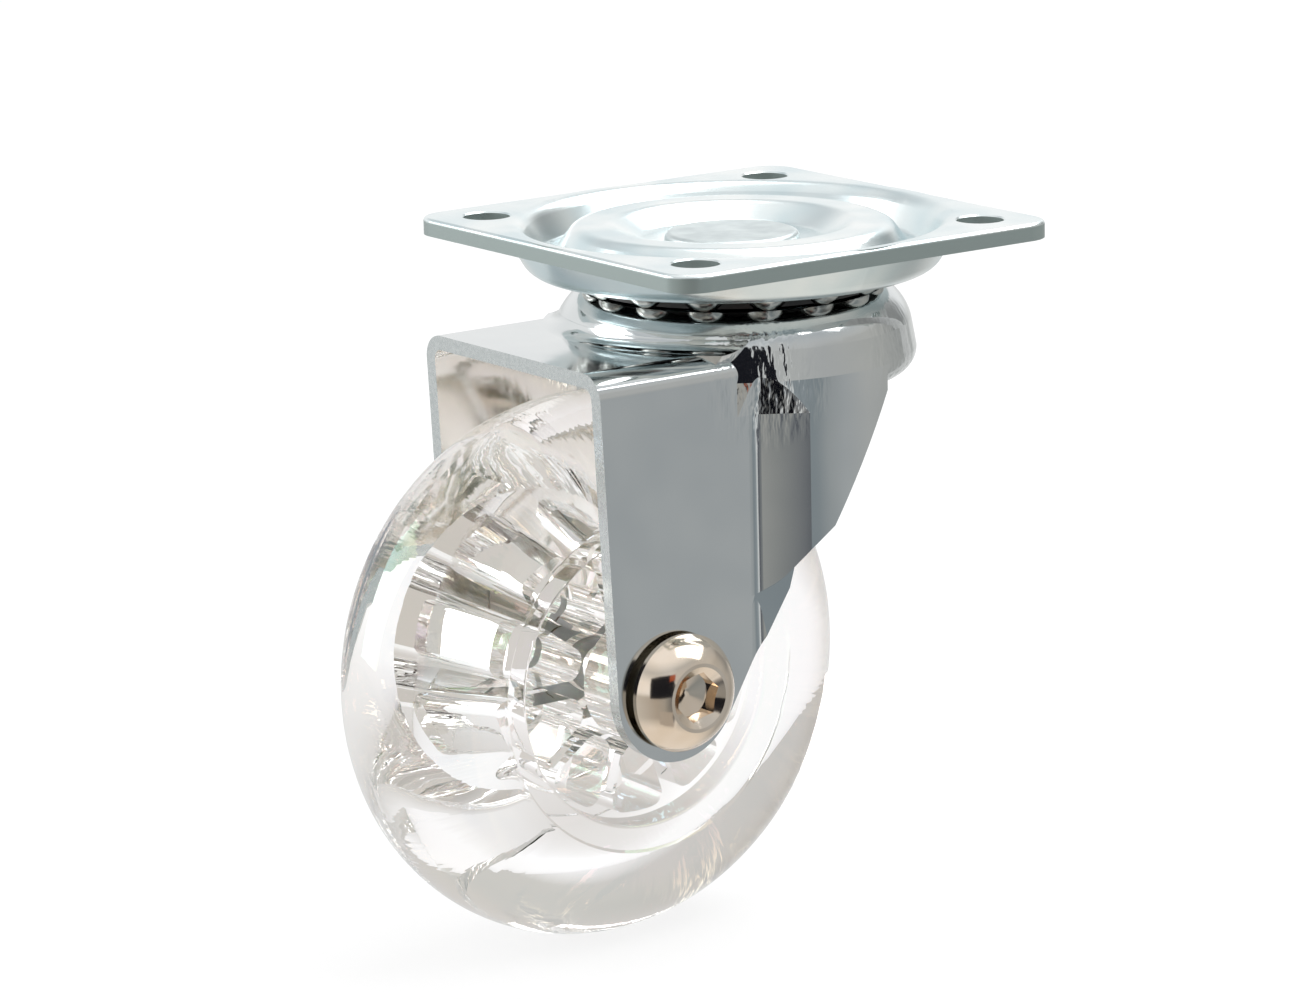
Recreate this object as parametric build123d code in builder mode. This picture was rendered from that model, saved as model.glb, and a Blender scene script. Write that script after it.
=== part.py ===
from build123d import *
from math import cos, radians, sin, tan
import os

os.makedirs("parts", exist_ok=True)

# Swivel plate caster with a clear moulded wheel. The origin is the centre of the mounting face, on
# the swivel axis. +Z points up out of that face, the axle lies along X, the wheel trails towards -Y.
# All sizes are in millimetres.

# Mounting plate: one pressed sheet, flat outside, with a round channel and a raised ring inside
plate_side = 63.0
plate_corner_radius = 4.5
plate_sheet = 2.4
plate_arris = 0.6
screw_hole_spacing = 48.0
screw_hole_radius = 3.25
screw_hole_arris = 0.2
channel_width = 7.3
channel_depth = 4.5
channel_slope = 60.0
channel_inner_wall = 1.8
channel_edge_bend = 2.6
channel_edge_inner_bend = 0.8
channel_foot_bend = 0.8
race_cover_angle = 40.0
race_lip_round = 0.5
ridge_bend = 2.4
ridge_drop = 0.45
ridge_inner_width = 3.0
ridge_outer_width = 2.0
centre_drop = 2.9
centre_radius = 12.8
centre_bend = 2.0
centre_under_step = 1.4

# Upper ball ring between the plate and the fork
upper_ball_radius = 3.175
upper_ball_count = 15
upper_pitch_radius = 19.6
ball_clearance = 0.08
cage_clearance = 0.15
cage_wall = 1.1
cage_reach = 1.0
cage_outer_rise = 1.7
cage_outer_fall = 2.6
cage_shoulder_rise = 1.55
cage_shoulder_fall = 2.25
cage_inner_rise = 0.85
cage_inner_fall = 1.1

# Kingpin, lower ball ring and lower race
kingpin_radius = 5.0
kingpin_head_radius = 9.2
kingpin_head_height = 1.1
kingpin_head_round = 0.8
kingpin_tail_radius = 7.6
kingpin_tail_height = 1.5
kingpin_tail_round = 1.2
lower_ball_radius = 2.0
lower_ball_count = 14
lower_pitch_radius = 10.0
lower_race_wall = 1.2
lower_race_lip = 0.75

# Fork: one pressed sheet with a square front, a round drum at the back and two legs
fork_sheet = 2.0
fork_width = 40.4
fork_front = 37.1
fork_front_slant = 0.055
fork_bridge_drop = 13.95
fork_bend_radius = 3.5
fork_hole_clearance = 0.6
dish_gap = 1.5
dish_radius = 13.2
groove_half_angle = 20.0
drum_radius = 25.0
drum_shoulder_radius = 6.0
drum_shoulder_end_angle = 11.0
drum_shoulder_drop = 15.0
drum_wall_draft = 0.6
drum_straight_drop = 17.9
drum_foot_rise = 1.7
drum_foot_reach = 1.7
drum_curl_radius = 3.4
drum_curl_angle = 70.0
drum_edge_drop = 21.4
crease_back = -12.0
crease_radius = 3.0
crease_flare_angle = 14.0
crease_flare_drop = 22.5
crease_flare_height = 9.0
bulge_back = -5.8
bulge_half_width = 24.3
bulge_floor_front_drop = 49.5
bulge_knee_back = -8.5
bulge_knee_drop = 46.4
bulge_knee_radius = 8.0
bulge_floor_rear_drop = 24.6
bulge_floor_taper = 35.0
rim_flare = 1.1
rim_flare_width = 5.0
rim_flare_drop = 46.0
rim_flare_foot_back = -15.9
rim_flare_foot_drop = 58.5
rear_edge_back = 8.0
rear_edge_corner_radius = 2.5
boss_radius = 9.7

# Wheel: one clear moulding with pockets and ribs on both sides of a middle web
axle_back = -25.4
axle_drop = 58.2
wheel_radius = 37.5
tread_half_width = 14.2
side_ring_outer_radius = 23.9
side_ring_inner_radius = 19.9
side_ring_land = 0.45
side_ring_step = 0.35
side_ring_dish = 0.8
side_ring_round = 0.5
recess_depth = 3.8
recess_draft = 0.5
pocket_outer_radius = 18.7
hub_radius = 8.4
hub_wall = 1.0
web_half_thickness = 1.25
rib_count = 10
rib_thickness = 2.4
pocket_corner_radius = 1.8

# Axle: a barrel and a screw that meet inside the hub, with washers
barrel_radius = 4.0
running_clearance = 0.08
washer_clearance = 0.1
screw_radius = 3.0
screw_length = 16.0
screw_bore_clearance = 0.05
screw_tip_chamfer = 0.6
barrel_bore_spare = 2.0
barrel_head_gap = 0.1
axle_head_radius = 8.0
axle_head_height = 4.15
axle_head_rim = 0.7
axle_head_flat_radius = 4.7
axle_head_dome_radius = 6.6
socket_mouth_radius = 4.2
socket_mouth_depth = 0.7
socket_across_flats = 6.0
socket_depth = 2.7
socket_point = 0.9
socket_turn = 15.0
head_washer_radius = 5.6
head_washer_thickness = 0.85
hub_washer_radius = 7.2
hub_washer_thickness = 0.8
hub_side_clearance = 0.3

# How far a cutting form runs past the face that it leaves
cut_spare = 1.0

# Heights and places that follow from the sizes above
ball_plane = -(ridge_drop + plate_sheet + ball_clearance + upper_ball_radius)
race_radius = upper_ball_radius + ball_clearance
race_wall_radius = upper_pitch_radius + race_radius
centre_underside = -(centre_drop + plate_sheet)
dish_top = centre_underside - dish_gap
groove_half_width = race_radius * sin(radians(groove_half_angle))
crown_height = ball_plane - race_radius * cos(radians(groove_half_angle))
lower_ball_plane = dish_top - fork_sheet - ball_clearance - lower_ball_radius
lower_race_floor = lower_ball_plane - lower_ball_radius - ball_clearance - lower_race_wall
leg_outer = fork_width / 2
leg_inner = leg_outer - fork_sheet
hub_half_length = leg_inner - hub_washer_thickness - hub_side_clearance
head_seat = leg_outer + head_washer_thickness
axle_line = Axis((0, axle_back, -axle_drop), (1, 0, 0))


def ring_places(radius, count, height):
    """Centres of evenly spaced balls on a pitch circle about the swivel axis."""
    step = 360 / count
    return [
        Vector(radius * cos(radians(i * step)), radius * sin(radians(i * step)), height)
        for i in range(count)
    ]


def save(piece, name):
    """Label one finished piece and write it as its own file."""
    piece.part.label = name
    export_step(piece.part, "parts/" + name + ".step")


# Top plate: flat sheet with four screw holes, and the round pressing let into its middle
channel_outer = race_wall_radius + channel_width - plate_sheet / 2
channel_outer_foot = channel_outer - channel_depth / tan(radians(channel_slope))
channel_inner_foot = race_wall_radius + channel_inner_wall
sheet_step = plate_sheet * tan(radians(channel_slope / 2))
ridge_outer = upper_pitch_radius + ridge_outer_width
ridge_inner = upper_pitch_radius - ridge_inner_width
press_edge = channel_outer + plate_sheet

with BuildPart() as top_plate:
    with BuildSketch(Plane.XY.offset(-plate_sheet)):
        RectangleRounded(plate_side, plate_side, plate_corner_radius)
    extrude(amount=plate_sheet)
    fillet(top_plate.faces().sort_by(Axis.Z)[-1].edges(), radius=plate_arris)
    with BuildSketch(Plane.XY):
        Circle(press_edge)
    extrude(amount=-plate_sheet, mode=Mode.SUBTRACT)
    with BuildSketch(Plane.XZ):
        with BuildLine():
            top = FilletPolyline(
                (press_edge, 0),
                (channel_outer, 0),
                (channel_outer_foot, -channel_depth),
                (channel_inner_foot, -channel_depth),
                (ridge_outer, -ridge_drop),
                (ridge_inner, -ridge_drop),
                (centre_radius, -centre_drop),
                (kingpin_radius, -centre_drop),
                radius=[
                    channel_edge_bend,
                    channel_foot_bend,
                    channel_foot_bend,
                    ridge_bend,
                    ridge_bend,
                    centre_bend,
                ],
            )
            centre_wall = Line(top @ 1, (kingpin_radius, centre_underside))
            race_start = (
                upper_pitch_radius - race_radius * cos(radians(race_cover_angle)),
                ball_plane + race_radius * sin(radians(race_cover_angle)),
            )
            underside = Polyline(
                centre_wall @ 1,
                (centre_radius + centre_under_step, centre_underside),
                race_start,
            )
            race = ThreePointArc(
                race_start,
                (upper_pitch_radius, ball_plane + race_radius),
                (race_wall_radius, ball_plane),
            )
            lip = FilletPolyline(
                race @ 1,
                (race_wall_radius, -channel_depth - plate_sheet),
                (channel_outer_foot + sheet_step, -channel_depth - plate_sheet),
                (channel_outer + sheet_step, -plate_sheet),
                (press_edge, -plate_sheet),
                radius=[race_lip_round, channel_foot_bend + plate_sheet, channel_edge_inner_bend],
            )
            Line(lip @ 1, top @ 0)
        make_face()
    revolve(axis=Axis.Z)
    with BuildSketch(Plane.XY):
        with GridLocations(screw_hole_spacing, screw_hole_spacing, 2, 2):
            Circle(screw_hole_radius)
    extrude(amount=-plate_sheet, mode=Mode.SUBTRACT)
    with BuildSketch(Plane.XY):
        with GridLocations(screw_hole_spacing, screw_hole_spacing, 2, 2):
            Circle(screw_hole_radius + screw_hole_arris)
    extrude(amount=-screw_hole_arris, taper=45, mode=Mode.SUBTRACT)
save(top_plate, "top_plate")

# Kingpin: flat head on the plate's middle, straight shank, tail spread over the lower race
with BuildPart() as kingpin:
    with BuildSketch(Plane.XZ):
        with BuildLine():
            head_top = kingpin_head_height - centre_drop
            tail_end = lower_race_floor - kingpin_tail_height
            outline = Polyline(
                (0, head_top),
                (kingpin_head_radius, head_top),
                (kingpin_head_radius, -centre_drop),
                (kingpin_radius, -centre_drop),
                (kingpin_radius, lower_race_floor),
                (kingpin_tail_radius, lower_race_floor),
                (kingpin_tail_radius, tail_end),
                (0, tail_end),
                close=True,
            )
        make_face()
    revolve(axis=Axis.Z)
    rims = kingpin.edges().filter_by(GeomType.CIRCLE)
    fillet(rims.group_by(Axis.Z)[-1], kingpin_head_round)
    fillet(rims.group_by(Axis.Z)[0], kingpin_tail_round)
save(kingpin, "kingpin")

# Lower race: turned ring with a groove, held up by the kingpin's tail
lower_groove_radius = lower_ball_radius + ball_clearance
lower_race_top = lower_ball_plane - lower_ball_radius + lower_race_lip
lower_race_radius = lower_pitch_radius + lower_ball_radius + lower_race_wall
with BuildPart() as lower_race:
    with BuildSketch(Plane.XZ):
        with BuildLine():
            Polyline(
                (kingpin_radius, lower_race_floor),
                (lower_race_radius, lower_race_floor),
                (lower_race_radius, lower_race_top),
                (kingpin_radius, lower_race_top),
                close=True,
            )
        make_face()
        with Locations((lower_pitch_radius, lower_ball_plane)):
            Circle(lower_groove_radius, mode=Mode.SUBTRACT)
    revolve(axis=Axis.Z)
save(lower_race, "lower_race")

# Balls of both rings, each a piece of its own
for number, place in enumerate(ring_places(upper_pitch_radius, upper_ball_count, ball_plane), 1):
    with BuildPart() as upper_ball:
        with Locations(place):
            Sphere(upper_ball_radius)
    save(upper_ball, f"upper_ball_{number:02d}")

for number, place in enumerate(ring_places(lower_pitch_radius, lower_ball_count, lower_ball_plane), 1):
    with BuildPart() as lower_ball:
        with Locations(place):
            Sphere(lower_ball_radius)
    save(lower_ball, f"lower_ball_{number:02d}")

# Ball cage: black moulded crown, a thin inner ring with a finger between each two balls
pocket_radius = upper_ball_radius + cage_clearance
cage_inner = upper_pitch_radius - pocket_radius - cage_wall
cage_outer = upper_pitch_radius + cage_reach
cage_shoulder = upper_pitch_radius - cage_reach
with BuildPart() as ball_cage:
    with BuildSketch(Plane.XZ):
        with BuildLine():
            Polyline(
                (cage_inner, ball_plane + cage_inner_rise),
                (cage_shoulder, ball_plane + cage_shoulder_rise),
                (cage_outer, ball_plane + cage_outer_rise),
                (cage_outer, ball_plane - cage_outer_fall),
                (cage_shoulder, ball_plane - cage_shoulder_fall),
                (cage_inner, ball_plane - cage_inner_fall),
                close=True,
            )
        make_face()
    revolve(axis=Axis.Z)
    with Locations(ring_places(upper_pitch_radius, upper_ball_count, ball_plane)):
        Sphere(pocket_radius, mode=Mode.SUBTRACT)
save(ball_cage, "ball_cage")


# Fork: the outer form less the same form moved in by one sheet, trimmed to the side outline
def fork_drum(inset):
    """Round top of the fork with its crown, shoulder, wall and rolled edge moved in by inset."""
    shoulder_centre = drum_radius - drum_wall_draft - drum_shoulder_radius
    shoulder = drum_shoulder_radius - inset
    shoulder_end = radians(drum_shoulder_end_angle)
    curl_centre = drum_radius - drum_curl_radius
    curl = drum_curl_radius - inset
    curl_end = radians(drum_curl_angle)
    lip_radius = curl_centre + drum_curl_radius * cos(curl_end)
    lip_height = -drum_straight_drop - drum_curl_radius * sin(curl_end)
    if inset > 0:
        floor = lip_height - cut_spare
        rolled_edge = [(lip_radius, lip_height), (lip_radius, floor)]
    else:
        floor = lip_height
        rolled_edge = []
    with BuildPart() as drum:
        with BuildSketch(Plane.XZ):
            with BuildLine():
                crown = Polyline(
                    (0, floor),
                    (0, dish_top - inset),
                    (dish_radius, dish_top - inset),
                    (upper_pitch_radius - groove_half_width, crown_height - inset),
                    (upper_pitch_radius + groove_half_width - inset / 2, crown_height - inset),
                )
                turn = ThreePointArc(
                    crown @ 1,
                    (
                        shoulder_centre + shoulder * cos(radians(45)),
                        shoulder * sin(radians(45)) - drum_shoulder_drop,
                    ),
                    (
                        shoulder_centre + shoulder * cos(shoulder_end),
                        shoulder * sin(shoulder_end) - drum_shoulder_drop,
                    ),
                )
                wall = Line(turn @ 1, (drum_radius - inset, -drum_straight_drop))
                rolled = ThreePointArc(
                    wall @ 1,
                    (
                        curl_centre + curl * cos(curl_end / 2),
                        -drum_straight_drop - curl * sin(curl_end / 2),
                    ),
                    (curl_centre + curl * cos(curl_end), -drum_straight_drop - curl * sin(curl_end)),
                )
                Polyline(rolled @ 1, *rolled_edge, (0, floor))
            make_face()
        revolve(axis=Axis.Z)
    return drum.part


def fork_foot():
    """Rounded foot where the drum stands on the bridge, fading out towards both legs."""
    shoulder_centre = drum_radius - drum_wall_draft - drum_shoulder_radius
    foot_top = drum_foot_rise - fork_bridge_drop
    foot_low = -fork_bridge_drop - fork_bend_radius
    foot_inner = shoulder_centre + (drum_shoulder_radius**2 - (foot_top + drum_shoulder_drop) ** 2) ** 0.5
    foot_outer = drum_radius - drum_wall_draft + drum_foot_reach
    with BuildPart() as foot:
        with BuildSketch(Plane.XZ):
            with BuildLine():
                TangentArc((foot_outer, -fork_bridge_drop), (foot_inner, foot_top), tangent=(-1, 0))
                Polyline(
                    (foot_inner, foot_top),
                    (0, foot_top),
                    (0, foot_low),
                    (foot_outer, foot_low),
                    (foot_outer, -fork_bridge_drop),
                )
            make_face()
        revolve(axis=Axis.Z)
        with BuildSketch(Plane.XZ.offset(-crease_back)) as fade:
            with Locations((0, foot_top)):
                Rectangle(fork_width, 2 * fork_bend_radius + 2 * drum_foot_rise)
            fillet(fade.vertices(), fork_bend_radius + drum_foot_rise)
        extrude(amount=fork_front, mode=Mode.INTERSECT)
    return foot.part


def fork_bulges(inset):
    """Drum wall carried down both legs, closed below by a sloping floor, moved in by inset."""
    slope = radians(bulge_floor_taper)
    floor_step = inset * (1 / cos(slope) - tan(slope))
    with BuildPart() as bulges:
        with BuildSketch(Plane.YZ.offset(leg_outer - inset)):
            with BuildLine():
                floor = FilletPolyline(
                    (-drum_radius, -bulge_floor_front_drop),
                    (bulge_knee_back, -bulge_knee_drop),
                    (drum_radius, -bulge_floor_rear_drop),
                    radius=bulge_knee_radius,
                )
                Polyline(floor @ 1, (drum_radius, drum_radius), (-drum_radius, drum_radius), floor @ 0)
            make_face()
            offset(amount=-floor_step)
        extrude(amount=drum_radius - leg_outer + cut_spare, taper=bulge_floor_taper)
        mirror(about=Plane.YZ)
        with BuildSketch(Plane.XY.offset(-drum_straight_drop)):
            Circle(drum_radius - inset)
            with Locations((0, rear_edge_back - drum_radius)):
                Rectangle(2 * drum_radius, 2 * drum_radius, mode=Mode.INTERSECT)
        extrude(amount=-2 * axle_drop, mode=Mode.INTERSECT)
    return bulges.part


def fork_rims(inset):
    """Lower rear rims of both legs, bent outwards along a slanted line, moved in by inset."""
    rim_x = leg_outer - inset
    rim_run = (0, rim_flare_foot_back - crease_back, rim_flare_drop - rim_flare_foot_drop)
    with BuildPart() as rims:
        with BuildSketch(Plane.XY.offset(-rim_flare_drop)):
            with BuildLine():
                Polyline(
                    (rim_x - cut_spare, crease_back),
                    (rim_x, crease_back),
                    (rim_x + rim_flare, crease_back + rim_flare_width),
                    (rim_x - cut_spare, crease_back + rim_flare_width),
                    close=True,
                )
            make_face()
        extrude(amount=rim_flare_foot_drop - rim_flare_drop + cut_spare, dir=rim_run, both=True)
        mirror(about=Plane.YZ)
    return rims.part


def fork_room(inset):
    """Plan outline of both legs up to their creases, flared open under the shoulder, moved in by inset."""
    flank_x = drum_radius + cut_spare
    flank_slope = (bulge_back - crease_back) / (bulge_half_width - leg_outer)
    flank_y = bulge_back + (flank_x - bulge_half_width) * flank_slope
    with BuildPart() as room:
        with BuildSketch(Plane.XY.offset(-crease_flare_drop)) as plan:
            with BuildLine():
                Polyline(
                    (-leg_outer, -2 * fork_front),
                    (-leg_outer, crease_back),
                    (-flank_x, flank_y),
                    (-flank_x, 2 * drum_radius),
                    (flank_x, 2 * drum_radius),
                    (flank_x, flank_y),
                    (leg_outer, crease_back),
                    (leg_outer, -2 * fork_front),
                    close=True,
                )
            make_face()
            creases = plan.vertices().filter_by(lambda v: abs(v.Y - crease_back) < 0.01)
            fillet(creases, crease_radius)
            offset(amount=-inset)
        extrude(plan.sketch, amount=-2 * axle_drop)
        extrude(plan.sketch, amount=crease_flare_height, taper=-crease_flare_angle)
        with BuildSketch(Plane.XY.offset(crease_flare_height - crease_flare_drop)):
            Rectangle(4 * drum_radius, 4 * fork_front)
        extrude(amount=drum_radius)
    return room.part


def fork_form(inset):
    """Closed form of the pressed fork with every wall and top moved in by inset."""
    with BuildPart() as form:
        with BuildSketch(Plane.XY.offset(-fork_bridge_drop - inset)):
            with Locations((0, -fork_front / 2)):
                Rectangle(fork_width - 2 * inset, fork_front + 2 * rear_edge_back)
        extrude(amount=-2 * axle_drop)
        bends = form.edges().group_by(Axis.Z)[-1].filter_by(Axis.Y)
        fillet(bends, fork_bend_radius - inset)
        add(fork_bulges(inset))
        add(fork_rims(inset))
        add(fork_drum(inset))
        add(fork_room(inset), mode=Mode.INTERSECT)
    return form.part


with BuildPart() as fork:
    add(fork_form(0))
    add(fork_foot())
    add(fork_form(fork_sheet), mode=Mode.SUBTRACT)
    with BuildSketch(Plane.YZ) as side:
        with BuildLine():
            Line((-fork_front - fork_front_slant * fork_bridge_drop, 0), (rear_edge_back, -drum_edge_drop))
            CenterArc((axle_back, -axle_drop), boss_radius, 0, 360)
        make_hull()
        with Locations((0, 0)):
            Rectangle(2 * (drum_radius + cut_spare), 2 * drum_edge_drop)
        rear_corner = side.vertices().filter_by_position(Axis.Y, rear_edge_back - 0.5, rear_edge_back + 0.5)
        fillet(rear_corner, rear_edge_corner_radius)
    extrude(amount=fork_width, both=True, mode=Mode.INTERSECT)
    with BuildSketch(Plane.XZ):
        with Locations((upper_pitch_radius, ball_plane)):
            Circle(race_radius)
    revolve(axis=Axis.Z, mode=Mode.SUBTRACT)
    with BuildSketch(Plane.XY):
        Circle(kingpin_radius + fork_hole_clearance)
    extrude(amount=-drum_edge_drop, mode=Mode.SUBTRACT)
    with BuildSketch(Plane.YZ):
        with Locations((axle_back, -axle_drop)):
            Circle(barrel_radius + washer_clearance)
    extrude(amount=fork_width, both=True, mode=Mode.SUBTRACT)
save(fork, "fork")

# Wheel: the clear moulding, drawn as a half section from the middle out and mirrored
recess_floor = tread_half_width - recess_depth
with BuildPart() as wheel:
    with BuildSketch(Plane((0, axle_back, -axle_drop), x_dir=(1, 0, 0), z_dir=(0, -1, 0))):
        with BuildLine():
            tread = EllipticalCenterArc(
                (0, side_ring_outer_radius),
                tread_half_width,
                wheel_radius - side_ring_outer_radius,
                start_angle=0,
                arc_size=90,
            )
            Polyline(
                tread @ 0,
                (tread_half_width, side_ring_outer_radius - side_ring_land),
                (tread_half_width - side_ring_step, side_ring_outer_radius - side_ring_land - side_ring_step),
                (tread_half_width - side_ring_dish, side_ring_inner_radius),
                (recess_floor, side_ring_inner_radius - recess_draft),
                (recess_floor, hub_radius),
                (hub_half_length, hub_radius),
                (hub_half_length, barrel_radius + running_clearance),
                (0, barrel_radius + running_clearance),
                tread @ 1,
            )
        make_face()
    revolve(axis=axle_line)
    rims = wheel.edges().filter_by(GeomType.CIRCLE)
    fillet(rims.filter_by(lambda e: abs(e.radius - side_ring_inner_radius) < 0.01), side_ring_round)
    with BuildSketch(Plane.YZ.offset(recess_floor)) as pockets:
        with Locations((axle_back, -axle_drop)):
            Circle(pocket_outer_radius)
            Circle(hub_radius + hub_wall, mode=Mode.SUBTRACT)
            with PolarLocations(side_ring_inner_radius / 2, rib_count):
                Rectangle(side_ring_inner_radius, rib_thickness, mode=Mode.SUBTRACT)
        fillet(pockets.vertices(), pocket_corner_radius)
    extrude(amount=web_half_thickness - recess_floor, mode=Mode.SUBTRACT)
    mirror(about=Plane.YZ)
save(wheel, "wheel")

# Axle: both ends carry the same domed head with a hexagon socket
def domed_head(seat):
    """Domed head standing out along +X from the seat, with its hexagon socket."""
    top = seat + axle_head_height
    with BuildPart() as head:
        with BuildSketch(Plane((0, axle_back, -axle_drop), x_dir=(1, 0, 0), z_dir=(0, -1, 0))):
            with BuildLine():
                rim = Polyline(
                    (seat, 0),
                    (seat, axle_head_radius),
                    (seat + axle_head_rim, axle_head_radius),
                )
                dome = RadiusArc(rim @ 1, (top, axle_head_flat_radius), axle_head_dome_radius)
                Polyline(dome @ 1, (top, 0), (seat, 0))
            make_face()
        revolve(axis=axle_line)
        with BuildSketch(Plane((top, axle_back, -axle_drop), x_dir=(0, 1, 0), z_dir=(1, 0, 0))):
            RegularPolygon(socket_across_flats / 2, 6, major_radius=False, rotation=socket_turn)
        extrude(amount=-socket_depth, mode=Mode.SUBTRACT)
        with BuildSketch(Plane((0, axle_back, -axle_drop), x_dir=(1, 0, 0), z_dir=(0, -1, 0))):
            with BuildLine():
                Polyline(
                    (top, 0),
                    (top, socket_mouth_radius),
                    (top - socket_mouth_depth, socket_across_flats / 2),
                    (top - socket_depth, socket_across_flats / 2),
                    (top - socket_depth - socket_point, 0),
                    close=True,
                )
            make_face()
        revolve(axis=axle_line, mode=Mode.SUBTRACT)
    return head.part


screw_tip = head_seat - screw_length
with BuildPart() as axle_screw:
    add(domed_head(head_seat))
    with BuildSketch(Plane((screw_tip, axle_back, -axle_drop), x_dir=(0, 1, 0), z_dir=(1, 0, 0))):
        Circle(screw_radius)
    extrude(amount=screw_length)
    chamfer(axle_screw.edges().sort_by(Axis.X)[0], screw_tip_chamfer)
save(axle_screw, "axle_screw")

barrel_end = head_seat - barrel_head_gap
with BuildPart() as axle_barrel:
    add(mirror(domed_head(head_seat), about=Plane.YZ, mode=Mode.PRIVATE))
    with BuildSketch(Plane((-head_seat, axle_back, -axle_drop), x_dir=(0, 1, 0), z_dir=(1, 0, 0))):
        Circle(barrel_radius)
    extrude(amount=head_seat + barrel_end)
    with BuildSketch(Plane((barrel_end, axle_back, -axle_drop), x_dir=(0, 1, 0), z_dir=(1, 0, 0))):
        Circle(screw_radius + screw_bore_clearance)
    extrude(amount=-screw_length - barrel_bore_spare, mode=Mode.SUBTRACT)
save(axle_barrel, "axle_barrel")


# Washers: a small one under each head, a larger one between each leg and the hub
def washer(inner_face, radius, thickness):
    """Flat ring round the barrel, from inner_face outwards along X."""
    with BuildPart() as ring:
        with BuildSketch(Plane((inner_face, axle_back, -axle_drop), x_dir=(0, 1, 0), z_dir=(1, 0, 0))):
            Circle(radius)
            Circle(barrel_radius + washer_clearance, mode=Mode.SUBTRACT)
        extrude(amount=thickness)
    return ring


hub_washer_face = leg_inner - hub_washer_thickness
save(washer(leg_outer, head_washer_radius, head_washer_thickness), "head_washer_screw_side")
save(washer(-head_seat, head_washer_radius, head_washer_thickness), "head_washer_barrel_side")
save(washer(hub_washer_face, hub_washer_radius, hub_washer_thickness), "hub_washer_screw_side")
save(washer(-leg_inner, hub_washer_radius, hub_washer_thickness), "hub_washer_barrel_side")
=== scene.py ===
import bpy
import math
from mathutils import Matrix, Vector


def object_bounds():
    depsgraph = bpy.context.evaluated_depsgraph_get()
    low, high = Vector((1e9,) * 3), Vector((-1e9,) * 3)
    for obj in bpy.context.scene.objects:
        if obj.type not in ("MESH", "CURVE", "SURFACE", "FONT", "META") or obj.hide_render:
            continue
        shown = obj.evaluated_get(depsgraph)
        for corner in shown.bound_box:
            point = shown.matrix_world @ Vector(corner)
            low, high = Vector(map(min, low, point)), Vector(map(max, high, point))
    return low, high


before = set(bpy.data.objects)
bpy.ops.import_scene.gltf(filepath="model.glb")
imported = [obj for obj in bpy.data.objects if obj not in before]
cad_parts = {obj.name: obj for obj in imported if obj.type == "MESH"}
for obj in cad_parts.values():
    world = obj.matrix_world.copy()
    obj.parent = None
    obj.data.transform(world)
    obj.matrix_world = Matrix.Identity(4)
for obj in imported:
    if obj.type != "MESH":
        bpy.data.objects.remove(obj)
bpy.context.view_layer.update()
bpy.context.scene.view_settings.view_transform = "Standard"
# Light crosses many faces inside the clear wheel and between its ribs, so its paths are long.
bpy.context.scene.cycles.max_bounces = 20
bpy.context.scene.cycles.glossy_bounces = 14
bpy.context.scene.cycles.transmission_bounces = 16

# Top plate
# The real plate is one square of pressed steel sheet, 63 mm a side, with a round channel and a
# raised ring. It is zinc plated and passivated, which leaves a satin, slightly blue-green skin
# with soft bloom.
MM = 0.001
UNIT = (0.0, 1.0)
MIX_FACTOR, MIX_LOW, MIX_HIGH, MIX_RESULT = 0, 6, 7, 2


def linear(hex_colour):
    """sRGB hex colour as the linear colour a shader takes."""
    parts = [int(hex_colour[i:i + 2], 16) / 255 for i in (1, 3, 5)]
    curve = tuple(c / 12.92 if c <= 0.04045 else ((c + 0.055) / 1.055) ** 2.4 for c in parts)
    return curve + (1.0,)


def add_node(tree, kind, settings=None, links=None):
    """Add one node, set its own properties and socket values, and link its inputs."""
    node = tree.nodes.new(kind)
    for key, value in (settings or {}).items():
        if isinstance(key, str) and hasattr(node, key):
            setattr(node, key, value)
        else:
            node.inputs[key].default_value = value
    for key, source in (links or {}).items():
        tree.links.new(source, node.inputs[key])
    return node


def new_material(name):
    """Empty node material with its output, ready for a shader."""
    material = bpy.data.materials.new(name)
    material.use_nodes = True
    material.node_tree.nodes.clear()
    add_node(material.node_tree, "ShaderNodeOutputMaterial")
    return material


def finish_material(material, shader):
    """Join the shader to the material's output."""
    tree = material.node_tree
    output = next(n for n in tree.nodes if n.type == "OUTPUT_MATERIAL")
    tree.links.new(shader.outputs[0], output.inputs["Surface"])
    return material


def colour_steps(tree, factor, steps):
    """Colour driven by factor, through the (place, hex colour) steps."""
    ramp = add_node(tree, "ShaderNodeValToRGB", links={"Fac": factor})
    while len(ramp.color_ramp.elements) < len(steps):
        ramp.color_ramp.elements.new(0.5)
    for element, (place, hex_colour) in zip(ramp.color_ramp.elements, steps):
        element.position = place
        element.color = linear(hex_colour)
    return ramp.outputs["Color"]


def noise(tree, place, size, detail):
    """Noise between 0 and 1 with features of the given size in metres."""
    return add_node(tree, "ShaderNodeTexNoise", {"Scale": 1 / size, "Detail": detail},
                    {"Vector": place}).outputs["Fac"]


def spread_range(tree, value, start, end=UNIT):
    """Value carried from the range start to the range end, and held at both ends."""
    return add_node(tree, "ShaderNodeMapRange",
                    {"From Min": start[0], "From Max": start[1],
                     "To Min": end[0], "To Max": end[1]},
                    {"Value": value}).outputs["Result"]


def calculate(tree, operation, *values, kind="ShaderNodeMath", result="Value"):
    """Result of one arithmetic node. Each value is a plain number, or the socket it comes from."""
    node = add_node(tree, kind, {"operation": operation})
    for index, value in enumerate(values):
        if isinstance(value, bpy.types.NodeSocket):
            tree.links.new(value, node.inputs[index])
        else:
            node.inputs[index].default_value = value
    return node.outputs[result]


def calculate_vector(tree, operation, *values, result="Vector"):
    """The same for vectors."""
    return calculate(tree, operation, *values, kind="ShaderNodeVectorMath", result=result)


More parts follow.
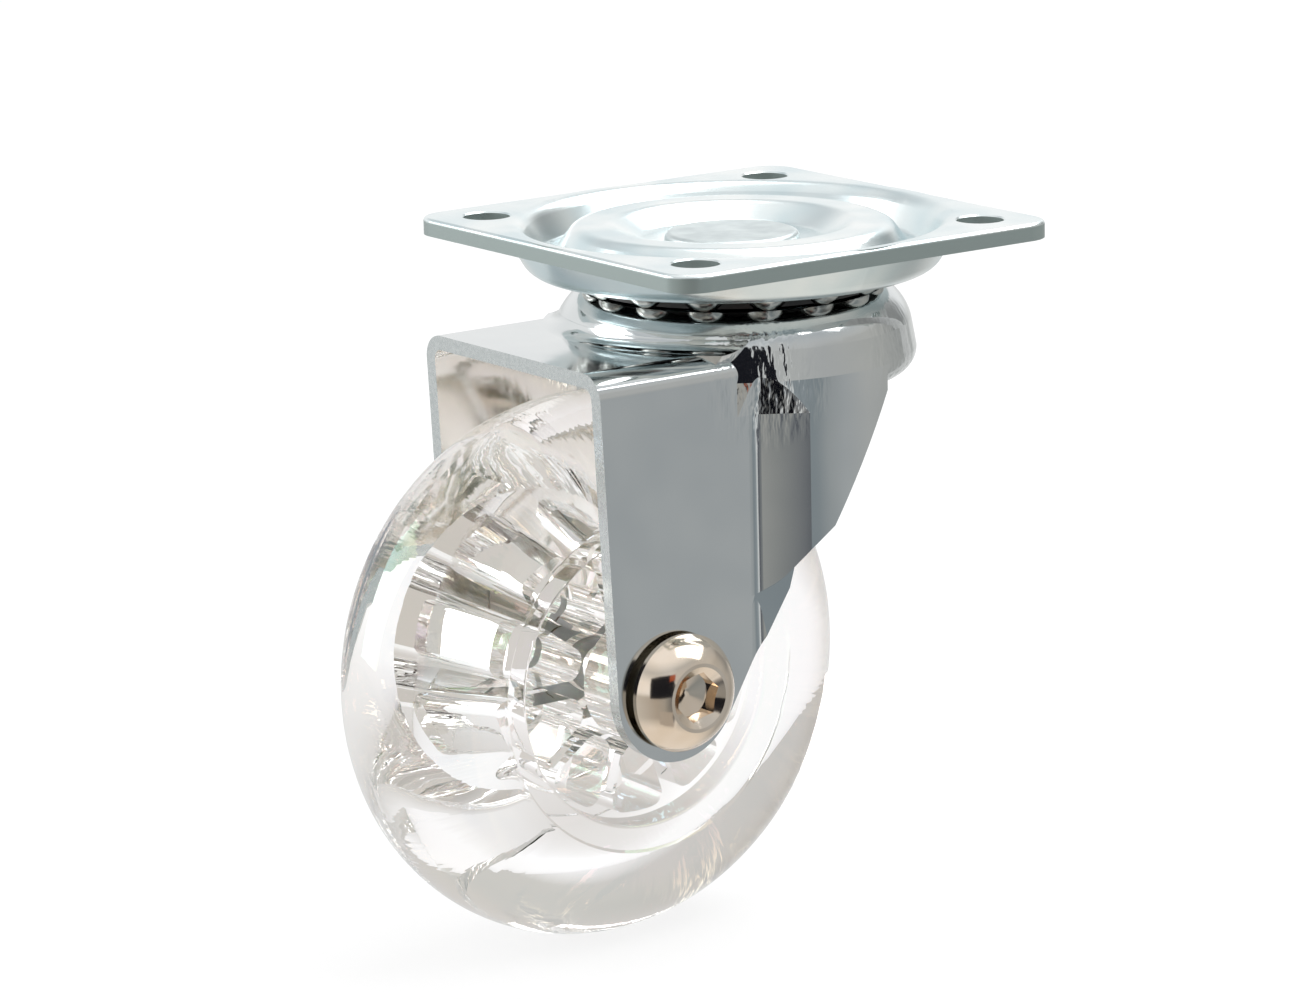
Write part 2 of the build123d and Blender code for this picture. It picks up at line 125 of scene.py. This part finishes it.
def mix_colours(tree, factor, low, high, blend_type="MIX"):
    """Colour between low and high. Each is a hex colour, or the socket it comes from."""
    mix = add_node(tree, "ShaderNodeMix", {"data_type": "RGBA", "blend_type": blend_type})
    for index, source in ((MIX_FACTOR, factor), (MIX_LOW, low), (MIX_HIGH, high)):
        if isinstance(source, bpy.types.NodeSocket):
            tree.links.new(source, mix.inputs[index])
        elif isinstance(source, str):
            mix.inputs[index].default_value = linear(source)
        else:
            mix.inputs[index].default_value = source
    return mix.outputs[MIX_RESULT]


def passivated_zinc():
    """Zinc plate under a thin clear passivate: satin near-white metal with drifts of blue-green,
    duller on the sheared rims."""
    bloom_size = 14 * MM
    grain_size = 0.5 * MM
    grain_depth = 0.02 * MM
    rim_to_face = (0.15, 0.45)
    face_roughness = (0.2, 0.28)
    rim_added_roughness = 0.14
    face_to_rim_metal = (1.0, 0.5)
    material = new_material("passivated_zinc_satin")
    tree = material.node_tree
    place = add_node(tree, "ShaderNodeTexCoord")
    bloom = noise(tree, place.outputs["Object"], bloom_size, detail=2.0)
    tint = colour_steps(tree, bloom, ((0.35, "#D3E1E4"), (0.62, "#EFF3F2")))
    grain = noise(tree, place.outputs["Object"], grain_size, detail=2.0)
    facing = add_node(tree, "ShaderNodeSeparateXYZ", links={"Vector": place.outputs["Normal"]})
    flatness = calculate(tree, "ABSOLUTE", facing.outputs["Z"])
    rim = spread_range(tree, flatness, rim_to_face, (1.0, 0.0))
    skin = mix_colours(tree, rim, tint, "#8B9694")
    satin = spread_range(tree, grain, UNIT, face_roughness)
    rough = calculate(tree, "MULTIPLY_ADD", rim, rim_added_roughness, satin)
    metal = spread_range(tree, rim, UNIT, face_to_rim_metal)
    bump = add_node(tree, "ShaderNodeBump", {"Strength": 0.08, "Distance": grain_depth},
                    {"Height": grain})
    shader = add_node(tree, "ShaderNodeBsdfPrincipled", {},
                      {"Base Color": skin, "Roughness": rough, "Metallic": metal,
                       "Normal": bump.outputs["Normal"]})
    return finish_material(material, shader)


def dress(node, material):
    """Give one of the CAD's solids its finish."""
    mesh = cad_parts[node].data
    mesh.materials.clear()
    mesh.materials.append(material)


dress("top_plate", passivated_zinc())


# Kingpin and lower race
# The kingpin is headed from plain bar, so its flat head is duller than the sheet around it. The
# lower race is a turned ring that only shows from below.
def barrelled_zinc():
    """Zinc plate laid on in a rotating barrel: even light grey with a faint cloud and no mirror."""
    cloud_size = 3 * MM
    pit_size = 0.25 * MM
    pit_depth = 0.03 * MM
    material = new_material("barrel_plated_zinc")
    tree = material.node_tree
    place = add_node(tree, "ShaderNodeTexCoord")
    cloud = noise(tree, place.outputs["Object"], cloud_size, detail=4.0)
    tint = colour_steps(tree, cloud, ((0.3, "#B9C1C2"), (0.7, "#CFD6D6")))
    pits = noise(tree, place.outputs["Object"], pit_size, detail=3.0)
    bump = add_node(tree, "ShaderNodeBump", {"Strength": 0.25, "Distance": pit_depth},
                    {"Height": pits})
    shader = add_node(tree, "ShaderNodeBsdfPrincipled", {"Metallic": 1.0, "Roughness": 0.42},
                      {"Base Color": tint, "Normal": bump.outputs["Normal"]})
    return finish_material(material, shader)


barrel_zinc = barrelled_zinc()
dress("kingpin", barrel_zinc)
dress("lower_race", barrel_zinc)


# Ball rings and cage
# Ground steel balls in grease. The cage is a black moulded crown that keeps the upper balls
# apart, and only its fingers show between them.
def ground_ball_steel():
    """Ground and polished bearing steel with a smear of grease: bright, with dull patches."""
    smear_size = 2.5 * MM
    smeared_to_clean_roughness = (0.3, 0.12)
    material = new_material("ball_steel_greased")
    tree = material.node_tree
    place = add_node(tree, "ShaderNodeTexCoord")
    smear = noise(tree, place.outputs["Object"], smear_size, detail=2.0)
    tint = colour_steps(tree, smear, ((0.34, "#8F8D88"), (0.5, "#DCDCD8")))
    rough = spread_range(tree, smear, UNIT, smeared_to_clean_roughness)
    shader = add_node(tree, "ShaderNodeBsdfPrincipled", {"Metallic": 1.0},
                      {"Base Color": tint, "Roughness": rough})
    return finish_material(material, shader)


def greased_black_plastic():
    """Black moulded nylon, wet with grease: near black with a soft wet gloss."""
    film_size = 1.5 * MM
    material = new_material("nylon_black_greased")
    tree = material.node_tree
    place = add_node(tree, "ShaderNodeTexCoord")
    film = noise(tree, place.outputs["Object"], film_size, detail=2.0)
    tint = colour_steps(tree, film, ((0.3, "#0B0B0B"), (0.7, "#1A1917")))
    shader = add_node(tree, "ShaderNodeBsdfPrincipled", {"Roughness": 0.35}, {"Base Color": tint})
    return finish_material(material, shader)


ball_steel = ground_ball_steel()
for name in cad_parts:
    if "_ball_" in name:
        dress(name, ball_steel)
dress("ball_cage", greased_black_plastic())


# Fork
# One steel sheet, 2 mm thick, pressed and then bright plated. The flats are almost mirrors, with
# a faint ripple from the press tool, and the sheared edges are duller than the faces.
def bright_plate():
    """Bright plated steel: a cool grey near-mirror with a faint ripple and fine polishing haze,
    painted lighter on the legs' inner faces for light they catch, scuffed on the sheared edges,
    and puckered at the top of each crease."""
    ripple_size = 9 * MM
    ripple_depth = 0.12 * MM
    haze_size = 0.6 * MM
    roughness = (0.05, 0.13)
    scuff_added_roughness = 0.18
    face_to_edge_facing = (0.75, 0.85)
    drum_to_legs_reach = (27.5 * MM, 28.5 * MM)
    inside_limit = -5 * MM
    crease_top = (21.5 * MM, 11 * MM, 18 * MM)
    pinched_to_smooth = (4 * MM, 10 * MM)
    pinch_strength = 0.9
    pucker_size = 1.2 * MM
    pucker_depth = 0.22 * MM
    pucker_height_share = 0.3
    slanted_wall_facing = 0.82
    facing_tolerance = 0.03
    crease_back = 12 * MM
    wall_fall_per_metre = -12.6
    material = new_material("bright_plated_steel")
    tree = material.node_tree
    place = add_node(tree, "ShaderNodeTexCoord")
    ripple = noise(tree, place.outputs["Object"], ripple_size, detail=1.0)
    haze = noise(tree, place.outputs["Object"], haze_size, detail=3.0)
    rough = spread_range(tree, haze, UNIT, roughness)
    tint = colour_steps(tree, ripple, ((0.3, "#D2D6D7"), (0.7, "#DADDDD")))
    bump = add_node(tree, "ShaderNodeBump", {"Strength": 0.25, "Distance": ripple_depth},
                    {"Height": ripple})

    # Sheared edges at the front of the bridge and the legs, outside the drum.
    facing = add_node(tree, "ShaderNodeSeparateXYZ", links={"Vector": place.outputs["Normal"]})
    turned_away = calculate(tree, "ABSOLUTE", facing.outputs["Y"])
    edge_on = spread_range(tree, turned_away, face_to_edge_facing)
    level = calculate_vector(tree, "MULTIPLY", place.outputs["Object"], (1.0, 1.0, 0.0))
    reach = calculate_vector(tree, "LENGTH", level, result="Value")
    outside = spread_range(tree, reach, drum_to_legs_reach)
    sheared = calculate(tree, "MULTIPLY", edge_on, outside)
    scuffs = colour_steps(tree, haze, ((0.3, "#BEC3C3"), (0.7, "#CBCFCF")))
    skin = mix_colours(tree, sheared, tint, scuffs)
    dulled = calculate(tree, "MULTIPLY_ADD", sheared, scuff_added_roughness, rough)

    # Inner faces of the legs, which face the middle: painted light, a lighter colour standing in
    # for light they catch and mirror, not a different finish.
    spread = add_node(tree, "ShaderNodeSeparateXYZ", links={"Vector": place.outputs["Object"]})
    outward = calculate(tree, "MULTIPLY", facing.outputs["X"], spread.outputs["X"])
    painted_light_inner_faces = calculate(tree, "LESS_THAN", outward, inside_limit)
    # Painted light: the inner faces get the lighter colour #F4F2EE in place of the plate's own.
    plate = mix_colours(tree, painted_light_inner_faces, skin, "#F4F2EE")

    # Small folds where the sheet is pinched at the top of each crease.
    both_sides = calculate_vector(tree, "ABSOLUTE", place.outputs["Object"])
    away = calculate_vector(tree, "DISTANCE", both_sides, crease_top, result="Value")
    pinched = spread_range(tree, away, pinched_to_smooth, (pinch_strength, 0.0))
    drawn_out = calculate_vector(tree, "MULTIPLY", place.outputs["Object"],
                                 (1.0, 1.0, pucker_height_share))
    pucker = noise(tree, drawn_out, pucker_size, detail=2.0)
    folds = add_node(tree, "ShaderNodeBump", {"Distance": pucker_depth},
                     {"Height": pucker, "Strength": pinched, "Normal": bump.outputs["Normal"]})

    # A bump shades the slanted wall behind the crease as if it bent away a little towards the drum.
    side_on = calculate(tree, "ABSOLUTE", facing.outputs["X"])
    slanted = calculate(tree, "COMPARE", side_on, slanted_wall_facing, facing_tolerance)
    from_crease = calculate(tree, "ADD", spread.outputs["Y"], crease_back)
    square = calculate(tree, "MULTIPLY", from_crease, from_crease)
    wall_fall = calculate(tree, "MULTIPLY", square, wall_fall_per_metre)
    rounded = add_node(tree, "ShaderNodeBump", {"Distance": 1.0},
                       {"Height": wall_fall, "Strength": slanted,
                        "Normal": folds.outputs["Normal"]})
    shader = add_node(tree, "ShaderNodeBsdfPrincipled", {"Metallic": 1.0},
                      {"Base Color": plate, "Roughness": dulled,
                       "Normal": rounded.outputs["Normal"]})
    return finish_material(material, shader)


dress("fork", bright_plate())


# Wheel
# One clear moulding of polycarbonate, 75 mm across, polished outside, with ribs and pockets on
# both sides. The thick rim works as a lens, so the ribs show through it bent and doubled.
axle_back = 25.4 * MM
axle_drop = 58.2 * MM


def clear_polycarbonate():
    """Clear polycarbonate, tool-polished: a glass look with the faintest warm grey, soft flow
    ripples and a trace of rainbow, with fine cross streaks in patches on the tread."""
    flow_size = 6 * MM
    flow_depth = 0.2 * MM
    streak_width = 0.9 * MM
    streak_length = 9 * MM
    streak_depth = 0.12 * MM
    streak_strength = 0.25
    one_lane = 1.0
    patch_size = 16 * MM
    clear_to_streaked = (0.5, 0.62)
    tread_radius = 36 * MM
    ribs_to_tread = (27 * MM, 31 * MM)
    film_nanometres = 450.0
    material = new_material("polycarbonate_clear_moulded")
    tree = material.node_tree
    place = add_node(tree, "ShaderNodeTexCoord")
    flow = noise(tree, place.outputs["Object"], flow_size, detail=1.5)
    bump = add_node(tree, "ShaderNodeBump", {"Strength": 0.12, "Distance": flow_depth},
                    {"Height": flow})

    # The streaks' noise is laid out around the axle, so that they run across the tread.
    from_axle = calculate_vector(tree, "SUBTRACT", place.outputs["Object"],
                                 (0.0, -axle_back, -axle_drop))
    part = add_node(tree, "ShaderNodeSeparateXYZ", links={"Vector": from_axle})
    angle = calculate(tree, "ARCTAN2", part.outputs["Z"], part.outputs["Y"])
    flat = calculate_vector(tree, "MULTIPLY", from_axle, (0.0, 1.0, 1.0))
    radius = calculate_vector(tree, "LENGTH", flat, result="Value")
    turns = calculate(tree, "MULTIPLY", angle, tread_radius / streak_width)
    rise = calculate(tree, "MULTIPLY", radius, 1 / streak_length)
    along = calculate(tree, "MULTIPLY", part.outputs["X"], 1 / streak_length)
    lane = add_node(tree, "ShaderNodeCombineXYZ", links={"X": turns, "Y": rise, "Z": along})
    streak = noise(tree, lane.outputs[0], one_lane, detail=1.0)
    patch = noise(tree, place.outputs["Object"], patch_size, detail=0.0)
    patchy = spread_range(tree, patch, clear_to_streaked, (0.0, streak_strength))
    tread = spread_range(tree, radius, ribs_to_tread)
    marked = calculate(tree, "MULTIPLY", patchy, tread)
    wear = add_node(tree, "ShaderNodeBump", {"Distance": streak_depth},
                    {"Height": streak, "Strength": marked, "Normal": bump.outputs["Normal"]})
    body = colour_steps(tree, tread, ((0.0, "#FDFCFB"), (1.0, "#EFEDEB")))
    shader = add_node(tree, "ShaderNodeBsdfPrincipled",
                      {"Roughness": 0.0, "IOR": 1.5, "Transmission Weight": 1.0,
                       "Thin Film Thickness": film_nanometres, "Thin Film IOR": 1.38},
                      {"Base Color": body, "Normal": wear.outputs["Normal"]})
    return finish_material(material, shader)


dress("wheel", clear_polycarbonate())


# Axle screw, barrel and washers
# A hardened screw with a domed head and a hexagon socket, and its sleeve nut with the same head,
# both polished and nickel plated: a warm mirror. The small washers are plain zinc.
def nickel_plate(name, low, high, roughness):
    """Nickel plate, with the tint that its polish leaves between low and high."""
    wave_size = 4 * MM
    wave_depth = 0.1 * MM
    material = new_material(name)
    tree = material.node_tree
    place = add_node(tree, "ShaderNodeTexCoord")
    wave = noise(tree, place.outputs["Object"], wave_size, detail=1.0)
    tint = colour_steps(tree, wave, ((0.3, low), (0.7, high)))
    bump = add_node(tree, "ShaderNodeBump", {"Strength": 0.08, "Distance": wave_depth},
                    {"Height": wave})
    shader = add_node(tree, "ShaderNodeBsdfPrincipled", {"Metallic": 1.0, "Roughness": roughness},
                      {"Base Color": tint, "Normal": bump.outputs["Normal"]})
    return finish_material(material, shader)


dress("axle_screw", nickel_plate("nickel_plate_polished", "#E3D3C0", "#ECDFD0", roughness=0.11))
dress("axle_barrel", nickel_plate("nickel_plate_plain", "#D9D6D0", "#E2E0DB", roughness=0.2))
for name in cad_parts:
    if "washer" in name:
        dress(name, barrel_zinc)

# Floor and light
# The caster stands on its wheel on plain white paper. The polished metal mirrors the room around
# it: a grey table to the right, a pale one to the left, and pale walls. Two cards are the dark
# shape of the photographer and a hand. A pale one keeps the table's dark gap out of the screw.
floor_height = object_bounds()[0][2]
floor_size = 6.0
WHITE = "#FFFFFF"


def floor_material():
    """Matt white paper that keeps a faint shadow, with painted shade in its glow near the wheel for
    what looks down through it."""
    painted_shade_to_white = (30 * MM, 130 * MM)
    paper_share = 0.16
    material = new_material("paper_white_matt")
    tree = material.node_tree
    place = add_node(tree, "ShaderNodeTexCoord")
    away = calculate_vector(tree, "DISTANCE", place.outputs["Object"],
                            (0.0, -axle_back, floor_height), result="Value")
    run = spread_range(tree, away, painted_shade_to_white)
    # Painted shade: the glow greys towards the wheel, standing in for the shade under it.
    painted_shade_near_wheel = colour_steps(tree, run, ((0.0, "#CBC7C2"), (1.0, WHITE)))
    ray = add_node(tree, "ShaderNodeLightPath")
    tone = mix_colours(tree, ray.outputs["Is Camera Ray"], painted_shade_near_wheel, WHITE)
    glow = add_node(tree, "ShaderNodeEmission", {"Strength": 1.0}, {"Color": tone})
    paper = add_node(tree, "ShaderNodeBsdfPrincipled",
                     {"Base Color": linear(WHITE), "Roughness": 0.9})
    lit = add_node(tree, "ShaderNodeMixShader", {0: paper_share},
                   {1: glow.outputs[0], 2: paper.outputs[0]})
    return finish_material(material, lit)


def add_rectangle(name, width, height, level=0.0):
    """Rectangle around the origin, square to Z, at the given level."""
    x, y = width / 2, height / 2
    mesh = bpy.data.meshes.new(name)
    mesh.from_pydata([(-x, -y, level), (x, -y, level), (x, y, level), (-x, y, level)],
                     [], [(0, 1, 2, 3)])
    rectangle = bpy.data.objects.new(name, mesh)
    bpy.context.scene.collection.objects.link(rectangle)
    return rectangle


floor = add_rectangle("floor", floor_size, floor_size, floor_height)
floor.data.materials.append(floor_material())
floor.visible_glossy = False

middle = Vector((0.0, -0.02, -0.05))


def soft_lamp(name, place, width, height, power):
    """Rectangular area lamp at place, facing the caster's middle."""
    data = bpy.data.lights.new(name, "AREA")
    data.shape = "RECTANGLE"
    data.size = width
    data.size_y = height
    data.energy = power
    lamp = bpy.data.objects.new(name, data)
    bpy.context.scene.collection.objects.link(lamp)
    lamp.location = place
    lamp.rotation_euler = (middle - Vector(place)).to_track_quat("-Z", "Y").to_euler()


soft_lamp("lamp_top", (0.08, 0.42, 0.72), width=1.1, height=0.7, power=8.0)
soft_lamp("lamp_left", (-0.6, -0.7, 0.25), width=0.5, height=0.7, power=4.0)


def reflected_card(name, place, width, height, colour):
    """Card facing the caster's middle that only metal and clear plastic mirror."""
    material = new_material(name + "_card")
    emission = add_node(material.node_tree, "ShaderNodeEmission",
                        {"Color": linear(colour), "Strength": 1.0})
    finish_material(material, emission)
    card = add_rectangle(name, width, height)
    card.data.materials.append(material)
    card.location = place
    card.rotation_euler = (middle - Vector(place)).to_track_quat("Z", "Y").to_euler()
    card.visible_camera = False
    card.visible_transmission = False
    card.visible_diffuse = False
    card.visible_shadow = False


reflected_card("photographer", (0.578, -0.472, 0.106), width=0.73, height=0.49, colour="#191A20")
reflected_card("photographer_hand", (0.0857, -0.0465, -0.0264), width=0.015, height=0.013,
               colour="#A9573A")
reflected_card("pale_fill", (0.0513, -0.0452, -0.0852), width=0.0194, height=0.0194,
               colour="#B9B4AD")


def bearing_steps(tree, bearing, tones):
    """Colour around the horizon, through the (degrees from +X, hex colour) tones."""
    turned = spread_range(tree, bearing, (-math.pi, math.pi))
    return colour_steps(tree, turned, [((degrees + 180) / 360, tone) for degrees, tone in tones])


def studio_world():
    """White studio to the eye. Clear plastic sees the white panel behind the caster and light
    greys beside it. Metal mirrors pale walls above the horizon, greyer low on the right, and a
    table of many tones below."""
    table_tones = (
        (-180, "#E2E4E4"), (-150, "#EDEEEE"), (-90, "#C9C8C4"), (-50, "#B5B0A8"),
        (-36, "#B0AEA9"), (-31, "#AEADA9"), (-24, "#999A98"), (-16, "#7C7E81"),
        (-11, "#50545C"), (-7, "#F2F2F0"), (2, "#9AA1A5"), (14, "#8D9599"),
        (24, "#A7ABAC"), (36, "#B3B6B7"), (55, "#BEBEBC"), (80, "#B9B9B6"),
        (100, "#A9AAA8"), (125, "#E0E1E0"), (180, "#E2E4E4"))
    wall_tones = (
        (-180, WHITE), (-20, WHITE), (-5, "#C6C6C4"), (20, "#C3C3C2"), (60, "#C4C3BF"),
        (80, "#B6B6B3"), (98, "#949594"), (108, "#A0A1A0"), (119, WHITE), (180, WHITE))
    wall_heights = ((0.0, "#F4F5F5"), (0.12, WHITE), (0.35, WHITE), (0.6, "#CDD1D4"),
                    (0.85, WHITE))
    far_to_near_table = (-0.62, -0.85)
    table_gap_direction = (0.652, -0.381, -0.656)
    table_gap = ((0.1, "#12141E"), (0.22, WHITE))
    upper_to_lower_wall = (0.7, 0.3)
    table_to_walls = (-0.06, 0.04)
    panel_direction = (-0.789, 0.572, -0.225)
    panel_tones = ((0.3, "#D6D2CC"), (0.8, "#CFCECB"), (0.94, "#D2D1CE"), (0.985, WHITE))
    world = bpy.data.worlds.new("studio")
    bpy.context.scene.world = world
    world.use_nodes = True
    tree = world.node_tree
    tree.nodes.clear()
    direction = add_node(tree, "ShaderNodeTexCoord").outputs["Generated"]
    split = add_node(tree, "ShaderNodeSeparateXYZ", links={"Vector": direction})
    bearing = calculate(tree, "ARCTAN2", split.outputs["Y"], split.outputs["X"])
    height = split.outputs["Z"]

    near = spread_range(tree, height, far_to_near_table)
    table = mix_colours(tree, near, bearing_steps(tree, bearing, table_tones), "#F0EBE4")
    # Dark gap on the table, which the flared top of the crease mirrors.
    from_gap = calculate_vector(tree, "DISTANCE", direction, table_gap_direction, result="Value")
    gap = colour_steps(tree, from_gap, table_gap)
    table_with_gap = mix_colours(tree, 1.0, table, gap, "MULTIPLY")

    low = spread_range(tree, height, upper_to_lower_wall)
    walls = mix_colours(tree, low, colour_steps(tree, height, wall_heights),
                        bearing_steps(tree, bearing, wall_tones), "MULTIPLY")
    horizon = spread_range(tree, height, table_to_walls)
    scenery = mix_colours(tree, horizon, table_with_gap, walls)

    # White panel behind the caster, with light greys around it that draw the ribs of the wheel.
    straight = calculate_vector(tree, "DOT_PRODUCT", direction, panel_direction, result="Value")
    panel = colour_steps(tree, straight, panel_tones)
    ray = add_node(tree, "ShaderNodeLightPath")
    backdrop = mix_colours(tree, ray.outputs["Is Camera Ray"], panel, WHITE)
    seen = calculate(tree, "MAXIMUM", ray.outputs["Is Camera Ray"],
                     ray.outputs["Is Transmission Ray"])
    mirrored_light = add_node(tree, "ShaderNodeBackground", {"Strength": 1.0}, {"Color": scenery})
    seen_light = add_node(tree, "ShaderNodeBackground", {"Strength": 1.0}, {"Color": backdrop})
    mix = add_node(tree, "ShaderNodeMixShader", links={
        0: seen, 1: mirrored_light.outputs[0], 2: seen_light.outputs[0]})
    output = add_node(tree, "ShaderNodeOutputWorld")
    tree.links.new(mix.outputs[0], output.inputs["Surface"])


studio_world()

# Camera
# Placed as in the photograph: beyond the screw's side and in front of the fork, a little above
# the axle, looking slightly down at the plate, with a long lens.
camera_azimuth = math.radians(54.05)
camera_elevation = math.radians(12.98)
camera_roll = math.radians(-1.19)
camera_distance = 758.2 * MM
picture_width = 1300
picture_height = 1000
focal_in_pixels = 5567.8
origin_in_picture = (731.6, 217.3)
sensor_width = 36.0

back = Vector((math.sin(camera_azimuth) * math.cos(camera_elevation),
               -math.cos(camera_azimuth) * math.cos(camera_elevation),
               math.sin(camera_elevation)))
level_right = (-back).cross(Vector((0, 0, 1))).normalized()
level_up = level_right.cross(-back)
right = math.cos(camera_roll) * level_right + math.sin(camera_roll) * level_up
up = -math.sin(camera_roll) * level_right + math.cos(camera_roll) * level_up
per_pixel = camera_distance / focal_in_pixels
camera_place = (back * camera_distance
                - right * (origin_in_picture[0] - picture_width / 2) * per_pixel
                + up * (origin_in_picture[1] - picture_height / 2) * per_pixel)
camera_data = bpy.data.cameras.new("camera")
camera_data.sensor_width = sensor_width
camera_data.lens = sensor_width * focal_in_pixels / picture_width
camera_data.clip_start = 10 * MM
camera = bpy.data.objects.new("camera", camera_data)
bpy.context.scene.collection.objects.link(camera)
turn = Matrix((right, up, back)).transposed().to_4x4()
camera.matrix_world = Matrix.Translation(camera_place) @ turn
bpy.context.scene.camera = camera
